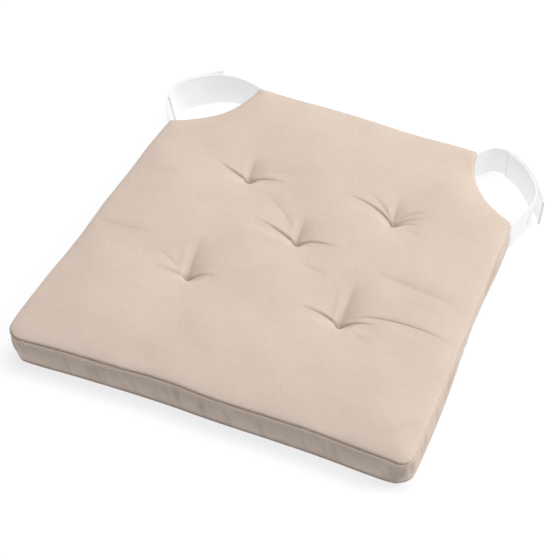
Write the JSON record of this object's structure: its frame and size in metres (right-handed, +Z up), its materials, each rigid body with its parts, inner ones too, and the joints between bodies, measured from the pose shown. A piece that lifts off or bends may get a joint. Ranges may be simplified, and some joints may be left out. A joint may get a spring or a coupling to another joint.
{
  "type": "chair seat pad",
  "caption": "Flat boxed chair seat pad in beige cotton, tufted, tapered to the back, with concave cut-out back corners and white hook-and-loop tape loops for the chair's posts.",
  "frame": {"origin": "on the plane the pad rests on, at the middle of the footprint of pad and tapes", "axes": "+Z up; +Y towards the back edge and the tapes; +X to the right of someone who stands in front of the chair and looks at its back"},
  "size_m": [0.38, 0.3898, 0.0366],
  "materials": {
    "cover_cotton": "matte",
    "tape_white": "matte",
    "foam": "matte",
    "thread": "matte"
  },
  "bodies": {
    "pad": {"top_panel": "cover_cotton", "bottom_panel": "cover_cotton", "foam_core": "foam", "band_front": "cover_cotton", "band_cutout_left": "cover_cotton", "band_cutout_right": "cover_cotton", "band_back": "cover_cotton", "tuft_middle": "thread", "tuft_back_left": "thread", "tuft_back_right": "thread", "tuft_front_left": "thread", "tuft_front_right": "thread", "tail_left_side": "tape_white", "tail_left_back": "tape_white", "tail_right_side": "tape_white", "tail_right_back": "tape_white"},
    "tape_left_side": {"tape_left_side": "tape_white"},
    "tape_left_back": {"tape_left_back": "tape_white"},
    "tape_right_side": {"tape_right_side": "tape_white"},
    "tape_right_back": {"tape_right_back": "tape_white"}
  },
  "joints": [
    {"name": "tape_left_side_swing", "type": "hinge", "parent": "pad", "child": "tape_left_side", "pos_m": [-0.16918, 0.10453, 0.016], "axis": [0, 0, 1], "range_deg": [0, 90]},
    {"name": "tape_left_back_swing", "type": "hinge", "parent": "pad", "child": "tape_left_back", "pos_m": [-0.10842, 0.17791, 0.016], "axis": [0, 0, 1], "range_deg": [0, 15]},
    {"name": "tape_right_side_swing", "type": "hinge", "parent": "pad", "child": "tape_right_side", "pos_m": [0.16918, 0.10453, 0.016], "axis": [0, 0, 1], "range_deg": [0, 12]},
    {"name": "tape_right_back_swing", "type": "hinge", "parent": "pad", "child": "tape_right_back", "pos_m": [0.10842, 0.17791, 0.016], "axis": [0, 0, 1], "range_deg": [0, 90]}
  ]
}
